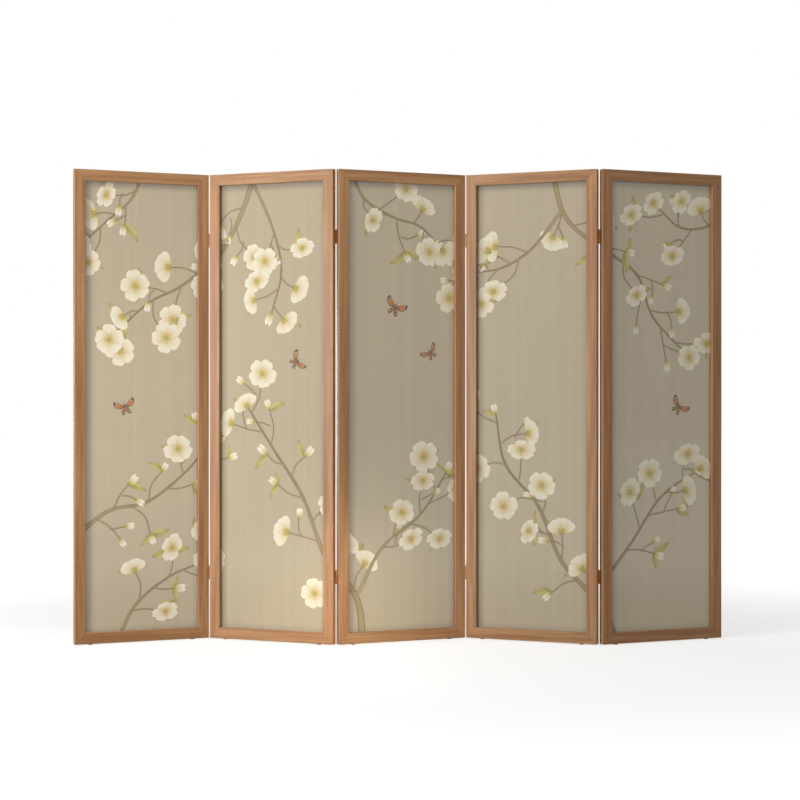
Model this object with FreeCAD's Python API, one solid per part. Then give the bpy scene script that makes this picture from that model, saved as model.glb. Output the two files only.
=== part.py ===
import FreeCAD, Part
import math
import os

# A folding screen of five leaves, standing in a zigzag.
# Millimetres and degrees. X runs along the screen, -Y faces the viewer and Z is up.
# The origin is on the floor, under the middle of the third leaf.
# Each leaf is made in a frame of its own: x from its left edge to its right one, y from its front
# face to its back one, both from the leaf's middle, and z from the floor.

# The leaves
panel_count = 5
overall_height = 1700.0
panel_width = 500.0
frame_thickness = 24.0
member_width = 40.0
edge_radius = 2.0
corner_radius = 2.5
# How far each leaf stands turned from the screen's long axis.
zigzag_angle = 23.5

# The rebate behind each sight edge, the cloth that lies in it and the beads that hold the cloth
rebate_depth = 11.0
rebate_width = 9.0
sheer_thickness = 0.5
sheer_edge_gap = 0.5
sheer_face_gap = 0.1
bead_side_gap = 0.2
bead_setback = 0.5
bead_chamfer = 2.0

# The loose tenons inside the mitres
tenon_thickness = 5.0
tenon_width = 24.0
tenon_depth = 10.0
tenon_clearance = 0.05
tenon_end_gap = 0.6
tenon_distance = 28.0

# The round glides under the bottom rails
glide_height = 3.0
glide_radius = 8.0
glide_inset = 60.0

# The hinges: the pin stands just outside the face that closes, and the barrel lies between the
# eased edges of the two stiles
barrel_radius = 1.6
pin_radius = 0.8
pin_clearance = 0.05
pin_stand_off = 0.6
pin_end_height = 0.5
hinge_length = 50.0
hinge_end_distance = 240.0
hinges_per_joint = 2
knuckle_count = 3
knuckle_gap = 0.2
knuckle_sweep_gap = 0.3
leaf_thickness = 0.8
leaf_reach = 17.0
# The room that is left between the two hinge leaves when the screen is straight.
leaf_face_gap = 0.3

# One overrun for all cutting shapes
overrun = 5.0

# What follows from the sizes above
frame_height = overall_height - glide_height
joint_gap = 2 * leaf_thickness + leaf_face_gap
front_face = -frame_thickness / 2
back_face = frame_thickness / 2
left_edge = -panel_width / 2
lip_back = back_face - rebate_depth
frame_middle = glide_height + frame_height / 2

UP = FreeCAD.Vector(0, 0, 1)
ACROSS = FreeCAD.Vector(1, 0, 0)
THROUGH = FreeCAD.Vector(0, 1, 0)
ORIGIN = FreeCAD.Vector(0, 0, 0)


def point(x, y, z=0):
    """A point in the frame of the piece being made."""
    return FreeCAD.Vector(x, y, z)


def moved(shape, x=0, y=0, z=0):
    """A copy of a shape, moved."""
    copy = shape.copy()
    copy.translate(point(x, y, z))
    return copy


def turned(shape, axis, degrees, centre=ORIGIN):
    """A copy of a shape, turned about an axis through a centre."""
    copy = shape.copy()
    copy.rotate(centre, axis, degrees)
    return copy


def closed_face(corners):
    """A flat face inside straight lines through the corners."""
    return Part.Face(Part.makePolygon(corners + corners[:1]))


def arc(start, centre, radius, degrees, end):
    """A round edge from start to end, whose middle lies at an angle from the centre in the XY plane."""
    middle = centre + point(radius * math.cos(math.radians(degrees)), radius * math.sin(math.radians(degrees)))
    return Part.Arc(start, middle, end).toShape()


def rounded_face(corners):
    """A flat face in the XY plane, its corners given anticlockwise as (x, y, radius), square where it's 0."""
    edges = []
    arrivals = []
    departures = []
    count = len(corners)
    for n, (x, y, radius) in enumerate(corners):
        here = point(x, y)
        before = point(*corners[n - 1][:2]) - here
        after = point(*corners[(n + 1) % count][:2]) - here
        arrivals.append(here + before.normalize() * radius)
        departures.append(here + after.normalize() * radius)
    for n, (x, y, radius) in enumerate(corners):
        if radius:
            here = point(x, y)
            inward = (arrivals[n] - here) + (departures[n] - here)
            centre = here + inward
            degrees = math.degrees(math.atan2(-inward.y, -inward.x))
            edges.append(arc(arrivals[n], centre, radius, degrees, departures[n]))
        edges.append(Part.LineSegment(departures[n], arrivals[(n + 1) % count]).toShape())
    return Part.Face(Part.Wire(edges))


def mitred_strip(profile, length, width, outer_edge):
    """A strip along x, of a profile drawn in (depth, inward), with both ends cut at 45 degrees.

    Its outer edge lies at z = outer_edge below the middle of the ring of strips that it belongs to.
    """
    # The profile is drawn in the XY plane, and stood up so that x becomes y and y becomes z.
    standing = turned(turned(profile, ACROSS, 90), UP, 90)
    bar = moved(standing, -length / 2).extrude(point(length, 0, 0))
    plan = closed_face([
        point(-length / 2, front_face - overrun, 0),
        point(length / 2, front_face - overrun, 0),
        point(length / 2 - width, front_face - overrun, width),
        point(width - length / 2, front_face - overrun, width),
    ])
    trimmed = bar.common(plan.extrude(point(0, frame_thickness + 2 * overrun, 0)))
    return moved(trimmed, 0, 0, outer_edge)


def ring_side(profile, width, ring_width, ring_height, quarter):
    """One side of a mitred ring about the leaf's middle: 0 is the bottom, 1 left, 2 the top, 3 right."""
    lies_flat = quarter % 2 == 0
    length = ring_width if lies_flat else ring_height
    across = ring_height if lies_flat else ring_width
    strip = mitred_strip(profile, length, width, -across / 2)
    return moved(turned(strip, THROUGH, 90 * quarter), 0, 0, frame_middle)


# Frame members

def member_profile():
    """A frame member's section: eased edges, and the rebate at the back of its inner edge."""
    shoulder = member_width - rebate_width
    return rounded_face([
        (front_face, 0, edge_radius),
        (back_face, 0, edge_radius),
        (back_face, shoulder, 0),
        (lip_back, shoulder, 0),
        (lip_back, member_width, 0),
        (front_face, member_width, edge_radius),
    ])


def panel_blank():
    """The leaf's outline with its four corners eased, thicker than the frame."""
    right = -left_edge
    outline = rounded_face([
        (left_edge, -frame_height / 2, corner_radius),
        (right, -frame_height / 2, corner_radius),
        (right, frame_height / 2, corner_radius),
        (left_edge, frame_height / 2, corner_radius),
    ])
    upright = turned(outline.extrude(point(0, 0, frame_thickness + 2 * overrun)), ACROSS, 90)
    return moved(upright, 0, back_face + overrun, frame_middle)


def tenon(clearance, end_gap):
    """A flat loose tenon across the bottom left mitre, or its slot if it has clearance."""
    width = tenon_width + 2 * clearance
    thickness = tenon_thickness + 2 * clearance
    depth = 2 * (tenon_depth + end_gap)
    block = Part.makeBox(width, thickness, depth, point(-width / 2, -thickness / 2, -depth / 2))
    from_corner = tenon_distance * math.sqrt(0.5)
    return moved(turned(block, THROUGH, -45), left_edge + from_corner, (front_face + lip_back) / 2,
                 glide_height + from_corner)


def at_four_corners(shape):
    """Copies of a shape at the bottom left corner, mirrored to all four corners of the leaf."""
    middle = point(0, 0, frame_middle)
    bottom = [shape, shape.mirror(middle, ACROSS)]
    return bottom + [s.mirror(middle, UP) for s in bottom]


def frame_members():
    """The four mitred frame members: bottom rail, left stile, top rail and right stile."""
    profile = member_profile()
    blank = panel_blank()
    slots = Part.makeCompound(at_four_corners(tenon(tenon_clearance, tenon_end_gap)))
    members = []
    for quarter in range(4):
        side = ring_side(profile, member_width, panel_width, frame_height, quarter)
        members.append(side.common(blank).cut(slots))
    return members


# Cloth and beads

def sheer():
    """The cloth, a thin sheet that lies against the back of the lip inside the rebate."""
    edge = member_width - rebate_width + sheer_edge_gap
    width = panel_width - 2 * edge
    height = frame_height - 2 * edge
    return Part.makeBox(width, sheer_thickness, height,
                        point(-width / 2, lip_back + sheer_face_gap, glide_height + edge))


def beads():
    """Four mitred beads in the rebate, behind the cloth, flush with the sight edge."""
    low = lip_back + 2 * sheer_face_gap + sheer_thickness
    high = back_face - bead_setback
    width = rebate_width - bead_side_gap
    profile = rounded_face([
        (low, 0, 0),
        (high, 0, 0),
        (high, width - bead_chamfer, 0),
        (high - bead_chamfer, width, 0),
        (low, width, 0),
    ])
    edge = member_width - rebate_width + bead_side_gap
    ring_width = panel_width - 2 * edge
    ring_height = frame_height - 2 * edge
    return [ring_side(profile, width, ring_width, ring_height, quarter) for quarter in range(4)]


# Glides

def glides():
    """The two round glides under a leaf's bottom rail."""
    places = [left_edge + glide_inset, -left_edge - glide_inset]
    return [Part.makeCylinder(glide_radius, glide_height, point(x, 0)) for x in places]


# Hinges. A hinge is made about its pin, which is the z axis, with its middle at z = 0. Its left leaf
# lies on the end of the left stile, at x = -joint_gap / 2, and reaches along +y, into the gap.

def knuckle_span(index):
    """The lower and upper end of a knuckle, counted from the bottom."""
    pitch = hinge_length / knuckle_count
    low = index * pitch - hinge_length / 2
    trim = knuckle_gap / 2
    first = index == 0
    last = index == knuckle_count - 1
    return (low if first else low + trim), (low + pitch if last else low + pitch - trim)


def hinge_leaf(own_knuckles):
    """A left leaf with its own knuckles, notched for those of the other leaf."""
    half = hinge_length / 2
    leaf = Part.makeBox(leaf_thickness, leaf_reach, hinge_length, point(-joint_gap / 2, 0, -half))
    notch_reach = barrel_radius + knuckle_sweep_gap
    for index in range(knuckle_count):
        low, high = knuckle_span(index)
        if index in own_knuckles:
            leaf = leaf.fuse(Part.makeCylinder(barrel_radius, high - low, point(0, 0, low)))
        else:
            start = max(low - knuckle_gap, -half - overrun)
            notch = Part.makeBox(leaf_thickness + 2 * overrun, notch_reach + overrun,
                                 high - low + 2 * knuckle_gap,
                                 point(-joint_gap / 2 - overrun, -overrun, start))
            leaf = leaf.cut(notch)
    bore = Part.makeCylinder(pin_radius + pin_clearance, hinge_length + 2 * overrun,
                             point(0, 0, -half - overrun))
    return leaf.removeSplitter().cut(bore)


def hinge_pin():
    """The pin, standing a little out of the barrel at both ends."""
    half = hinge_length / 2 + pin_end_height
    return Part.makeCylinder(pin_radius, 2 * half, point(0, 0, -half))


def hinge_heights():
    """The heights of the hinges of one joint, evenly spaced from the lowest to the highest."""
    lowest = glide_height + hinge_end_distance
    highest = overall_height - hinge_end_distance
    step = (highest - lowest) / (hinges_per_joint - 1)
    return [lowest + n * step for n in range(hinges_per_joint)]


def at_pin(shapes, pins_at_back, side):
    """Shapes made about a pin, put at all hinges of a leaf's left (-1) or right (1) edge.

    The pins stand outside the leaf's front face, or outside its back one.
    """
    face = 1 if pins_at_back else -1
    x = side * (panel_width + joint_gap) / 2
    y = face * (frame_thickness / 2 + pin_stand_off)
    placed = []
    for shape in shapes:
        facing = turned(shape, ACROSS, 180) if pins_at_back else shape
        placed += [moved(facing, x, y, z) for z in hinge_heights()]
    return placed


# The zigzag

def leaf_turn(panel):
    """The angle of a leaf about z: odd leaves run back to the right, even ones run forward."""
    return zigzag_angle if panel % 2 else -zigzag_angle


def pins_at_back(joint):
    """Whether a joint's pins are behind the screen, counting each joint by the leaf on its left."""
    return joint % 2 == 0


def pin_offset(panel, side, at_back):
    """From a leaf's middle to the pins beside it, in the screen's frame."""
    face = 1 if at_back else -1
    offset = point(side * (panel_width + joint_gap) / 2, face * (frame_thickness / 2 + pin_stand_off))
    return FreeCAD.Rotation(UP, leaf_turn(panel)).multVec(offset)


def leaf_centres():
    """The middle of each leaf in plan, found from the middle leaf outwards, pin by pin."""
    middle = (panel_count + 1) // 2
    centres = {middle: ORIGIN}
    for panel in range(middle, panel_count):
        at_back = pins_at_back(panel)
        pin = centres[panel] + pin_offset(panel, 1, at_back)
        centres[panel + 1] = pin - pin_offset(panel + 1, -1, at_back)
    for panel in range(middle, 1, -1):
        at_back = pins_at_back(panel - 1)
        pin = centres[panel] + pin_offset(panel, -1, at_back)
        centres[panel - 1] = pin - pin_offset(panel - 1, 1, at_back)
    return centres


def stood(shapes, panel, centres):
    """Shapes of a leaf's own frame, put where that leaf stands."""
    standing = []
    for shape in shapes:
        leaf = turned(shape, UP, leaf_turn(panel))
        leaf.translate(centres[panel])
        standing.append(leaf)
    return standing


def export(name, shapes):
    """Writes one node, as one solid or as a group of them."""
    solids = [solid for shape in shapes for solid in shape.Solids]
    whole = solids[0] if len(solids) == 1 else Part.makeCompound(solids)
    whole.exportStep("parts/" + name + ".step")


def main():
    """Builds every leaf and every joint."""
    os.makedirs("parts", exist_ok=True)
    centres = leaf_centres()
    bottom_rail, left_stile, top_rail, right_stile = frame_members()
    pieces = {
        "left_stile": [left_stile],
        "right_stile": [right_stile],
        "top_rail": [top_rail],
        "bottom_rail": [bottom_rail],
        "corner_tenons": at_four_corners(tenon(0, 0)),
        "sheer": [sheer()],
        "beads": beads(),
        "glides": glides(),
    }
    for panel in range(1, panel_count + 1):
        for piece, shapes in pieces.items():
            export("panel_%d_%s" % (panel, piece), stood(shapes, panel, centres))

    outer_knuckles = hinge_leaf(range(0, knuckle_count, 2))
    inner_knuckles = turned(hinge_leaf(range(1, knuckle_count, 2)), THROUGH, 180)
    pin = hinge_pin()
    for joint in range(1, panel_count):
        at_back = pins_at_back(joint)
        name = "hinge_%d%d_" % (joint, joint + 1)
        export(name + "left_leaves", stood(at_pin([outer_knuckles], at_back, 1), joint, centres))
        export(name + "pins", stood(at_pin([pin], at_back, 1), joint, centres))
        export(name + "right_leaves", stood(at_pin([inner_knuckles], at_back, -1), joint + 1, centres))


main()
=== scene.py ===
"""The looks of a five-leaf folding screen: wood, printed sheer cloths, hinges and small fasteners.

Metres throughout. X runs along the screen, -Y faces the viewer, Z is up, and the floor is at z = 0.
Each leaf also has a frame of its own: x along it, y from its front face to its back one, both from
its middle, and z from the floor.
"""
from collections.abc import Sequence
from dataclasses import dataclass, field
from enum import Enum
import logging
import math
import random

import bmesh
import bpy
from mathutils import Matrix, Vector
from mathutils.geometry import delaunay_2d_cdt
import numpy as np


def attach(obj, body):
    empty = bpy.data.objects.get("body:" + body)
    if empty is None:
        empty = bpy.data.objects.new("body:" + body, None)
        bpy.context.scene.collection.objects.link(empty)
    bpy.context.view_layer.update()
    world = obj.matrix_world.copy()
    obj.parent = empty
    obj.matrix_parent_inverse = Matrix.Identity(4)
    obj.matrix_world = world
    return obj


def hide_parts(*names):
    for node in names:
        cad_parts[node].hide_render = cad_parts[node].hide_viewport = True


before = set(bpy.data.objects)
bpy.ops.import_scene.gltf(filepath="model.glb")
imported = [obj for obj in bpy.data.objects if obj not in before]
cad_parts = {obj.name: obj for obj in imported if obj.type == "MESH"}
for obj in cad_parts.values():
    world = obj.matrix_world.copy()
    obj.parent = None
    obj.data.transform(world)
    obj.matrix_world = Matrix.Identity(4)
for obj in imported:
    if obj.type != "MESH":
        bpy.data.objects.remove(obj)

log = logging.getLogger("folding_screen")

Colour = tuple[float, float, float]
Socket = bpy.types.NodeSocket
Value = Socket | float | tuple[float, ...]
Place = tuple[float, float, float]
Shares = tuple[tuple[float, float], ...]
Stops = tuple[tuple[float, Colour], ...]
# The low and the high end of some numbers, then what these are carried onto where that isn't 0 and 1.
Range = tuple[float, ...]

MM = 0.001
LEAF_COUNT = 5
JOINT_GAP = 1.9 * MM


def shade(red: float, green: float, blue: float) -> Colour:
    """A linear colour from one written in the usual 0 to 255 steps.

    Args:
        red: The red step.
        green: The green step.
        blue: The blue step.

    Returns:
        The same colour in linear light.
    """
    def linear(step: float) -> float:
        """One channel in linear light."""
        share = step / 255
        return share / 12.92 if share <= 0.04045 else ((share + 0.055) / 1.055) ** 2.4

    return linear(red), linear(green), linear(blue)


def between(start: Colour, end: Colour, share: float) -> Colour:
    """The colour that lies a share of the way from one colour to another.

    Args:
        start: The colour at share 0.
        end: The colour at share 1.
        share: How far along.

    Returns:
        The colour there.
    """
    share = min(1.0, max(0.0, share))
    return tuple(a + (b - a) * share for a, b in zip(start, end))


class Grain(Enum):
    """Which way a piece's wood grain runs."""

    UPRIGHT = "upright"
    LEVEL = "level"
    MITRED = "mitred"


class Facing(Enum):
    """How a painted blossom turns to the viewer: as (petals, spread in degrees, flattening)."""

    OPEN = (5, 360.0, 1.0)
    TILTED = (5, 360.0, 0.68)
    CUPPED = (3, 96.0, 0.9)


class Graph:
    """The nodes of a material or of the world, added one by one."""

    def __init__(self, name: str, world: bool = False) -> None:
        """Starts an empty material or world.

        Args:
            name: Its name.
            world: Whether it is a world.
        """
        self.owner = (bpy.data.worlds if world else bpy.data.materials).new(name)
        self.output = "OutputWorld" if world else "OutputMaterial"
        self.owner.use_nodes = True
        self.tree = self.owner.node_tree
        self.tree.nodes.clear()

    def add(self, kind: str, inputs: dict[str | int, Value] | None = None,
            **settings: object) -> bpy.types.Node:
        """Adds a node.

        Args:
            kind: The node's type, without its ShaderNode prefix.
            inputs: Sockets to link, or values to set, by input name or number.
            **settings: The node's own settings.

        Returns:
            The new node.
        """
        node = self.tree.nodes.new("ShaderNode" + kind)
        for setting, value in settings.items():
            setattr(node, setting, value)
        for key, value in (inputs or {}).items():
            socket = node.inputs[key]
            if isinstance(value, bpy.types.NodeSocket):
                self.tree.links.new(value, socket)
            elif socket.type == "RGBA" and len(value) == 3:
                socket.default_value = (*value, 1.0)
            else:
                socket.default_value = value
        return node

    def math(self, operation: str, first: Value, second: Value = 0.0, clamp: bool = False) -> Socket:
        """The result of a sum on one or two numbers."""
        return self.add("Math", {0: first, 1: second}, operation=operation, use_clamp=clamp).outputs[0]

    def plus(self, first: Value, second: Value) -> Socket:
        """Two numbers added up."""
        return self.math("ADD", first, second)

    def minus(self, first: Value, second: Value, clamp: bool = False) -> Socket:
        """The first number less the second."""
        return self.math("SUBTRACT", first, second, clamp)

    def times(self, first: Value, second: Value) -> Socket:
        """Two numbers multiplied."""
        return self.math("MULTIPLY", first, second)

    def lesser(self, first: Value, second: Value) -> Socket:
        """The lesser of two numbers."""
        return self.math("MINIMUM", first, second)

    def greater(self, first: Value, second: Value) -> Socket:
        """The greater of two numbers."""
        return self.math("MAXIMUM", first, second)

    def absolute(self, value: Value) -> Socket:
        """A number without its sign."""
        return self.math("ABSOLUTE", value)

    def shifted(self, vector: Value, offset: Value) -> Socket:
        """A vector with an offset added."""
        return self.add("VectorMath", {0: vector, 1: offset}, operation="ADD").outputs[0]

    def scaled(self, vector: Value, factors: Value) -> Socket:
        """A vector with each of its numbers multiplied by a factor of its own."""
        return self.add("VectorMath", {0: vector, 1: factors}, operation="MULTIPLY").outputs[0]

    def split(self, vector: Socket) -> tuple[Socket, Socket, Socket]:
        """The three numbers of a vector."""
        outputs = self.add("SeparateXYZ", {0: vector}).outputs
        return outputs[0], outputs[1], outputs[2]

    def joined(self, x: Value, y: Value, z: Value) -> Socket:
        """A vector of three numbers."""
        return self.add("CombineXYZ", {0: x, 1: y, 2: z}).outputs[0]

    def noise(self, vector: Socket, scale: float = 1.0, detail: float = 2.0, rough: float = 0.5) -> Socket:
        """Soft noise, from 0 to 1 about 0.5."""
        inputs = {"Vector": vector, "Scale": scale, "Detail": detail, "Roughness": rough}
        return self.add("TexNoise", inputs).outputs[0]

    def ranged(self, value: Value, low: float, high: float, start: float = 0.0, end: float = 1.0) -> Socket:
        """A number carried smoothly from the range low to high onto the range start to end."""
        inputs = {"Value": value, "From Min": low, "From Max": high, "To Min": start, "To Max": end}
        return self.add("MapRange", inputs, interpolation_type="SMOOTHSTEP").outputs[0]

    def mixed(self, share: Value, first: Value, second: Value, blend: str = "MIX") -> Socket:
        """A mix of two colours."""
        inputs = {0: share, 6: first, 7: second}
        return self.add("Mix", inputs, data_type="RGBA", blend_type=blend).outputs[2]

    def layered(self, colour: Value, *layers: tuple[Value, Value]) -> Value:
        """A colour with others laid over it, each by a share.

        Args:
            colour: The lowest colour.
            *layers: The share and the colour of each layer, from the lowest up.

        Returns:
            The mixed colour.
        """
        for share, over in layers:
            colour = self.mixed(share, colour, over)
        return colour

    def weighed(self, total: Value, *terms: tuple[Value, float]) -> Value:
        """A number with others added to it, each by a weight.

        Args:
            total: The number.
            *terms: Each other number and its weight.

        Returns:
            The sum.
        """
        for value, weight in terms:
            total = self.plus(total, self.times(value, weight))
        return total

    def blended(self, share: Value, first: Value, second: Value) -> Socket:
        """A mix of two vectors."""
        return self.add("Mix", {0: share, 4: first, 5: second}, data_type="VECTOR").outputs[1]

    def bump(self, height: Socket, depth: float, strength: float) -> Socket:
        """The normal of a surface that rises by up to a depth where the height is 1."""
        return self.add("Bump", {"Height": height, "Distance": depth, "Strength": strength}).outputs[0]

    def seen(self) -> Socket:
        """Tells the rays that show a surface to the eye, straight or in gloss or glass.

        Returns:
            1 for such a ray, and else 0.
        """
        path = self.add("LightPath").outputs
        return self.greater(self.greater(path["Is Camera Ray"], path["Is Glossy Ray"]),
                            path["Is Transmission Ray"])

    def finished(self, surface: Socket) -> bpy.types.Material | bpy.types.World:
        """The material or world, with its surface set."""
        self.add(self.output, {"Surface": surface})
        return self.owner


def placed(name: str, data: bpy.types.ID) -> bpy.types.Object:
    """Puts some data in the scene as an object.

    Args:
        name: The object's name.
        data: Its mesh, lamp or camera.

    Returns:
        The new object.
    """
    made = bpy.data.objects.new(name, data)
    bpy.context.scene.collection.objects.link(made)
    return made


class Leaf:
    """One leaf of the screen, as it stands in the frame."""

    def __init__(self, number: int) -> None:
        """Finds where the leaf stands from its cloth.

        Args:
            number: The leaf's number, counted from the left.
        """
        self.number = number
        self.body = f"panel_{number}"
        plan = np.array([v.co.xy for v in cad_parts[self.node("sheer")].data.vertices], float)
        self.centre = (plan.min(0) + plan.max(0)) / 2
        along = np.linalg.svd(plan - plan.mean(0))[2][0]
        along = along * math.copysign(1, along[0])
        self.turn = math.atan2(along[1], along[0])
        self.stands = Matrix.Translation((*self.centre, 0)) @ Matrix.Rotation(self.turn, 4, "Z")
        self.cloth_low, self.cloth_high = self.local_box(self.node("sheer"))
        outer_low, outer_high = self.local_box(self.node("left_stile"))
        self.half_width = -outer_low.x
        self.half_thickness = (outer_high.y - outer_low.y) / 2
        self.member_width = outer_high.x - outer_low.x
        self.bottom, self.top = outer_low.z, outer_high.z

    def node(self, piece: str) -> str:
        """The name of one of the leaf's CAD nodes."""
        return f"{self.body}_{piece}"

    def local_box(self, node: str) -> tuple[Vector, Vector]:
        """The lowest and highest corner of a CAD node in the leaf's own frame.

        Args:
            node: The node's name.

        Returns:
            The two corners.
        """
        back = self.stands.inverted()
        places = np.array([back @ v.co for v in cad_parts[node].data.vertices], float)
        return Vector(places.min(0)), Vector(places.max(0))

    def local_place(self, graph: Graph) -> Socket:
        """Each surface point's place in the leaf's own frame, for a material.

        Args:
            graph: The material's nodes.

        Returns:
            The place as a vector.
        """
        back = self.stands.inverted()
        inputs = {"Vector": graph.add("TexCoord").outputs["Object"], "Location": back.to_translation(),
                  "Rotation": (0.0, 0.0, -self.turn)}
        return graph.add("Mapping", inputs, vector_type="POINT").outputs[0]

    def add_piece(self, name: str, mesh: bpy.types.Mesh, material: bpy.types.Material,
                  slot: str) -> bpy.types.Object:
        """Puts a mesh made in the leaf's own frame where the leaf stands.

        Args:
            name: The piece's name after the leaf's own.
            mesh: The piece's mesh.
            material: What it is finished with.
            slot: Not used.

        Returns:
            The new piece, riding on the leaf.
        """
        mesh.transform(self.stands)
        mesh.materials.append(material)
        piece = placed(self.node(name), mesh)
        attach(piece, self.body)
        log.info("%s: %d faces", piece.name, len(mesh.polygons))
        return piece

    def add_fasteners(self, name: str, made: bmesh.types.BMesh, metal: bpy.types.Material) -> None:
        """Adds a piece of small metal fasteners.

        Args:
            name: The piece's name after the leaf's own.
            made: Its mesh, made in the leaf's own frame.
            metal: What it is made of.
        """
        bmesh.ops.recalc_face_normals(made, faces=made.faces)
        mesh = bpy.data.meshes.new(self.node(name))
        made.to_mesh(mesh)
        made.free()
        self.add_piece(name, mesh, metal, "hinge_metal")


def dress(node: str, material: bpy.types.Material) -> None:
    """Gives a CAD node a material.

    Args:
        node: The node's name.
        material: Its new and only material.
    """
    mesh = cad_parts[node].data
    mesh.materials.clear()
    mesh.materials.append(material)


@dataclass(frozen=True)
class Layer:
    """One layer of a wood's figure: noise drawn out along the grain, and what shows of it."""

    width: float
    length: float
    detail: float = 2.0
    low: float = 0.0
    high: float = 1.0
    strength: float = 1.0

    def noise(self, graph: Graph, place: Socket) -> Socket:
        """The layer's noise, from 0 to 1, where the place's z runs along the grain."""
        factors = (1 / self.width, 1 / self.width, 1 / self.length)
        return graph.noise(graph.scaled(place, factors), detail=self.detail)

    def shown(self, graph: Graph, noise: Socket) -> Socket:
        """How strongly the layer colours the wood, from its noise."""
        return graph.ranged(noise, self.low, self.high, 0.0, self.strength)


@dataclass(frozen=True)
class WoodFinish:
    """Fine straight-grained hardwood under a thin satin lacquer."""

    name: str = "satin_hardwood"
    ground: Colour = shade(179, 128, 81)
    late_wood: Colour = shade(146, 95, 54)
    early_wood: Colour = shade(208, 160, 112)
    pore: Colour = shade(100, 62, 38)
    # The lighter colour of rubbed edges, also a painted highlight on the eased edges.
    worn_lit_edge: Colour = shade(216, 182, 142)
    ground_share: float = 0.4
    tone_spread: float = 0.05
    board_spread: float = 3.0
    wander: Layer = Layer(60 * MM, 900 * MM)
    wander_reach: float = 14 * MM
    wander_depth_share: float = 0.6
    streaks: Layer = Layer(17 * MM, 420 * MM, 2.0, 0.32, 0.7)
    rings: Layer = Layer(3.4 * MM, 210 * MM, 1.0, 0.4, 0.72, 0.42)
    fibres: Layer = Layer(0.45 * MM, 26 * MM, 1.0, 0.4, 0.75, 0.34)
    pores: Layer = Layer(0.28 * MM, 5 * MM, 0.0, 0.66, 0.78, 0.6)
    seam_width: float = 0.35 * MM
    seam_depth: float = 0.6
    # Where the edges are lightened: rubbed lacquer and a painted edge highlight.
    worn_lit_edge_start: float = 0.4 * MM
    worn_lit_edge_width: float = 3.4 * MM
    worn_lit_edge_depth: float = 0.42
    rub_scale: float = 60.0
    rub_range: Range = (0.35, 0.65, 0.25, 1.0)
    relief: float = 0.12 * MM
    bump: float = 0.6
    fibre_rise: float = 0.35
    seam_fall: float = 1.5
    roughness: float = 0.4
    rougher_streaks: float = 0.12
    rougher_wear: float = 0.14
    rougher_pores: float = 0.2
    gloss: float = 0.36
    coat: float = 0.2
    coat_roughness: float = 0.4

    def insets(self, graph: Graph, leaf: Leaf, place: Socket) -> tuple[Socket, Socket]:
        """How far each point lies in from the leaf's nearer side, and from its nearer end.

        Args:
            graph: The material's nodes.
            leaf: The leaf that the piece belongs to.
            place: Where each point lies in it.

        Returns:
            The two distances.
        """
        x, _, z = graph.split(place)
        middle = (leaf.bottom + leaf.top) / 2
        from_side = graph.minus(leaf.half_width, graph.absolute(x))
        return from_side, graph.minus(leaf.top - middle, graph.absolute(graph.minus(z, middle)))

    def board(self, graph: Graph, place: Socket, upright: Socket, grain: Grain,
              chance: random.Random) -> Socket:
        """Each point's place in the board that the piece was cut from, its z along the grain.

        Args:
            graph: The material's nodes.
            place: Where each point lies in the leaf.
            upright: 1 where mitred pieces stand upright, 0 where they lie level.
            grain: Which way the piece's grain runs.
            chance: The source of the piece's own cut.

        Returns:
            The place in the board, where the grain wanders a little.
        """
        x, y, z = graph.split(place)
        level = graph.joined(z, y, x)
        if grain is Grain.MITRED:
            along = graph.blended(upright, level, place)
        else:
            along = place if grain is Grain.UPRIGHT else level
        reach = self.board_spread
        cut = graph.shifted(along, tuple(chance.uniform(-reach, reach) for _ in range(3)))
        bend = graph.times(graph.minus(self.wander.noise(graph, cut), 0.5), self.wander_reach)
        return graph.shifted(cut, graph.joined(bend, graph.times(bend, self.wander_depth_share), 0.0))

    def wear_and_edge_highlight(self, graph: Graph, leaf: Leaf, place: Socket, inward: Socket) -> Socket:
        """How rubbed the lacquer is, in patches along the edges, which also serves as a painted highlight on
        the eased edges.

        Args:
            graph: The material's nodes.
            leaf: The leaf that the piece belongs to.
            place: Where each point lies in it.
            inward: How far that is in from the leaf's outline.

        Returns:
            The wear and painted edge highlight, from 0 to 1.
        """
        to_edge = graph.lesser(inward, graph.minus(leaf.member_width, inward))
        to_face = graph.minus(leaf.half_thickness, graph.absolute(graph.split(place)[1]))
        edge = graph.plus(graph.absolute(to_edge), graph.absolute(to_face))
        rubbed = graph.ranged(graph.noise(place, self.rub_scale, 3), *self.rub_range)
        return graph.times(graph.ranged(edge, self.worn_lit_edge_start, self.worn_lit_edge_width, 1, 0), rubbed)

    def material(self, leaf: Leaf, grain: Grain, seed: int) -> bpy.types.Material:
        """The wood of one piece of a leaf.

        Args:
            leaf: The leaf that the piece belongs to.
            grain: Which way its grain runs.
            seed: A number that gives the piece a cut and a tone of its own.

        Returns:
            The material.
        """
        chance = random.Random(seed)
        graph = Graph(f"{self.name}_{leaf.number}_{seed}")
        place = leaf.local_place(graph)
        from_side, from_end = self.insets(graph, leaf, place)
        upright = graph.math("LESS_THAN", from_side, from_end)
        board = self.board(graph, place, upright, grain, chance)
        streaks, rings = self.streaks.noise(graph, board), self.rings.noise(graph, board)
        fibres = self.fibres.noise(graph, board)
        pores = graph.ranged(self.pores.noise(graph, board), self.pores.low, self.pores.high)
        # rubbed lacquer along the edges, lightened further as a painted highlight on the eased edges
        wear_and_edge_highlight = self.wear_and_edge_highlight(graph, leaf, place, graph.lesser(from_side, from_end))
        seam = graph.absolute(graph.minus(from_side, from_end))
        seam = graph.ranged(seam, self.seam_width / 2, self.seam_width * 1.5, 1, 0)

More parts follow.
